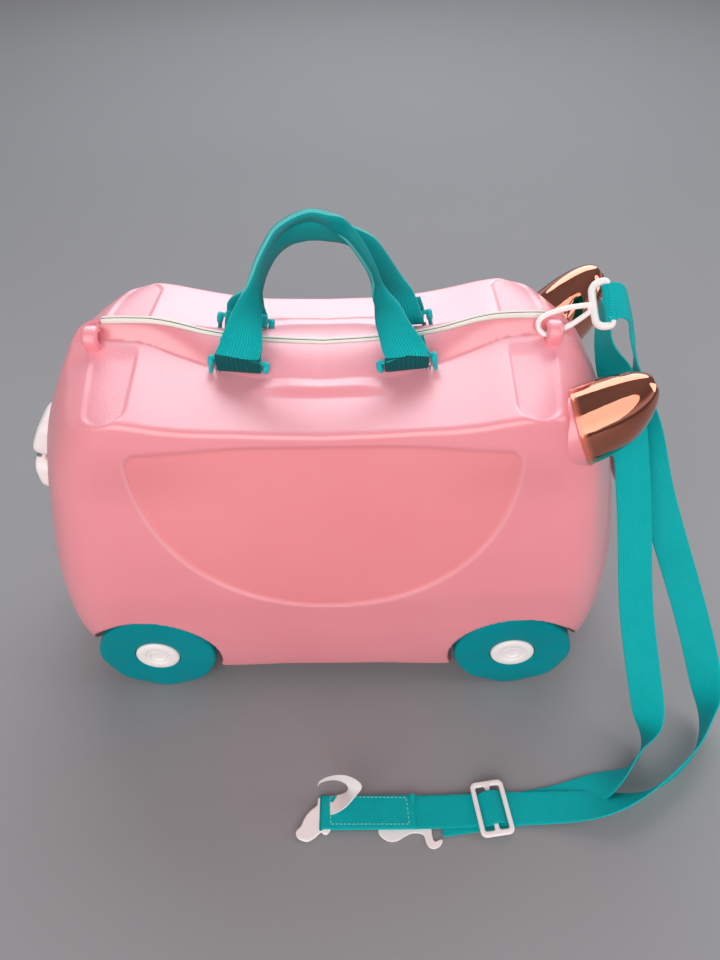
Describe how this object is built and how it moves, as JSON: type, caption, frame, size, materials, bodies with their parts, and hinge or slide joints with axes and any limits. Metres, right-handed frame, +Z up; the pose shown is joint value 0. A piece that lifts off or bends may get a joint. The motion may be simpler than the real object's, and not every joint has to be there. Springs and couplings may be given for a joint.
{
  "type": "ride-on suitcase",
  "caption": "Hard clamshell ride-on suitcase with saddle top, wheels in moulded bays, end catches, webbing handles, horn grips and a tow strap lying on the floor.",
  "frame": {"origin": "on the floor under the middle of the case", "axes": "+X towards the end with the horns, +Y across the case away from the tow strap, +Z up"},
  "size_m": [0.538, 0.3344, 0.3848],
  "materials": {
    "shell_pink": "moulded, satin gloss",
    "trim_cream": "soft satin",
    "wheel_teal": "moulded, satin",
    "part_white": "moulded, satin",
    "horn_copper": "copper-coloured mirror plating",
    "anchor_teal": "moulded, satin",
    "webbing_teal": "woven ribbed webbing",
    "label_white": "smooth woven",
    "steel": "plain"
  },
  "bodies": {
    "near_half": {"near_shell": "shell_pink", "seal_trim": "trim_cream", "hinge_pin": "steel", "axle_rear_near": "part_white", "axle_front_near": "part_white", "axle_clips_near": "steel", "horn_near": "horn_copper", "horn_screws_near": "steel", "anchor_rear_near": "anchor_teal", "anchor_front_near": "anchor_teal", "anchor_rivets_near": "steel", "catch_housing_rear": "part_white", "catch_housing_front": "part_white", "catch_pin_rear": "steel", "catch_pin_front": "steel", "catch_spring_rear": "steel", "catch_spring_front": "steel", "catch_rivets": "steel", "tow_clip": "part_white", "tow_strap_upper": "webbing_teal", "tow_strap_lower": "webbing_teal", "strap_slider": "part_white", "strap_end_clip": "part_white", "strap_low_clip": "part_white", "strap_label": "label_white"},
    "far_half": {"far_shell": "shell_pink", "axle_rear_far": "part_white", "axle_front_far": "part_white", "axle_clips_far": "steel", "horn_far": "horn_copper", "horn_screws_far": "steel", "anchor_rear_far": "anchor_teal", "anchor_front_far": "anchor_teal", "anchor_rivets_far": "steel", "catch_keeper_rear": "part_white", "catch_keeper_front": "part_white", "keeper_rivets": "steel"},
    "wheel_rear_near": {"wheel_rear_near": "wheel_teal"},
    "wheel_front_near": {"wheel_front_near": "wheel_teal"},
    "wheel_rear_far": {"wheel_rear_far": "wheel_teal"},
    "wheel_front_far": {"wheel_front_far": "wheel_teal"},
    "handle_near": {"handle_near": "webbing_teal"},
    "handle_far": {"handle_far": "webbing_teal"},
    "catch_lever_rear": {"catch_lever_rear": "part_white"},
    "catch_lever_front": {"catch_lever_front": "part_white"}
  },
  "joints": [
    {"name": "clamshell", "type": "hinge", "parent": "near_half", "child": "far_half", "pos_m": [0, 0, 0.024], "axis": [-1, 0, 0], "range_deg": [0, 130]},
    {"name": "spin_rear_near", "type": "hinge", "parent": "near_half", "child": "wheel_rear_near", "pos_m": [-0.1436, -0.08, 0.0465], "axis": [0, 1, 0], "continuous": true},
    {"name": "spin_front_near", "type": "hinge", "parent": "near_half", "child": "wheel_front_near", "pos_m": [0.1436, -0.08, 0.0465], "axis": [0, 1, 0], "continuous": true},
    {"name": "spin_rear_far", "type": "hinge", "parent": "far_half", "child": "wheel_rear_far", "pos_m": [-0.1436, 0.08, 0.0465], "axis": [0, 1, 0], "continuous": true},
    {"name": "spin_front_far", "type": "hinge", "parent": "far_half", "child": "wheel_front_far", "pos_m": [0.1436, 0.08, 0.0465], "axis": [0, 1, 0], "continuous": true},
    {"name": "handle_fold_near", "type": "hinge", "parent": "near_half", "child": "handle_near", "pos_m": [0, -0.0242, 0.289], "axis": [1, 0, 0], "range_deg": [0, 100]},
    {"name": "handle_fold_far", "type": "hinge", "parent": "far_half", "child": "handle_far", "pos_m": [0, 0.0242, 0.289], "axis": [-1, 0, 0], "range_deg": [0, 100]},
    {"name": "catch_flip_front", "type": "hinge", "parent": "near_half", "child": "catch_lever_front", "pos_m": [0.21651, 0, 0.19689], "axis": [0, -1, 0], "range_deg": [0, 70]},
    {"name": "catch_flip_rear", "type": "hinge", "parent": "near_half", "child": "catch_lever_rear", "pos_m": [-0.21651, 0, 0.19689], "axis": [0, 1, 0], "range_deg": [0, 70]}
  ]
}
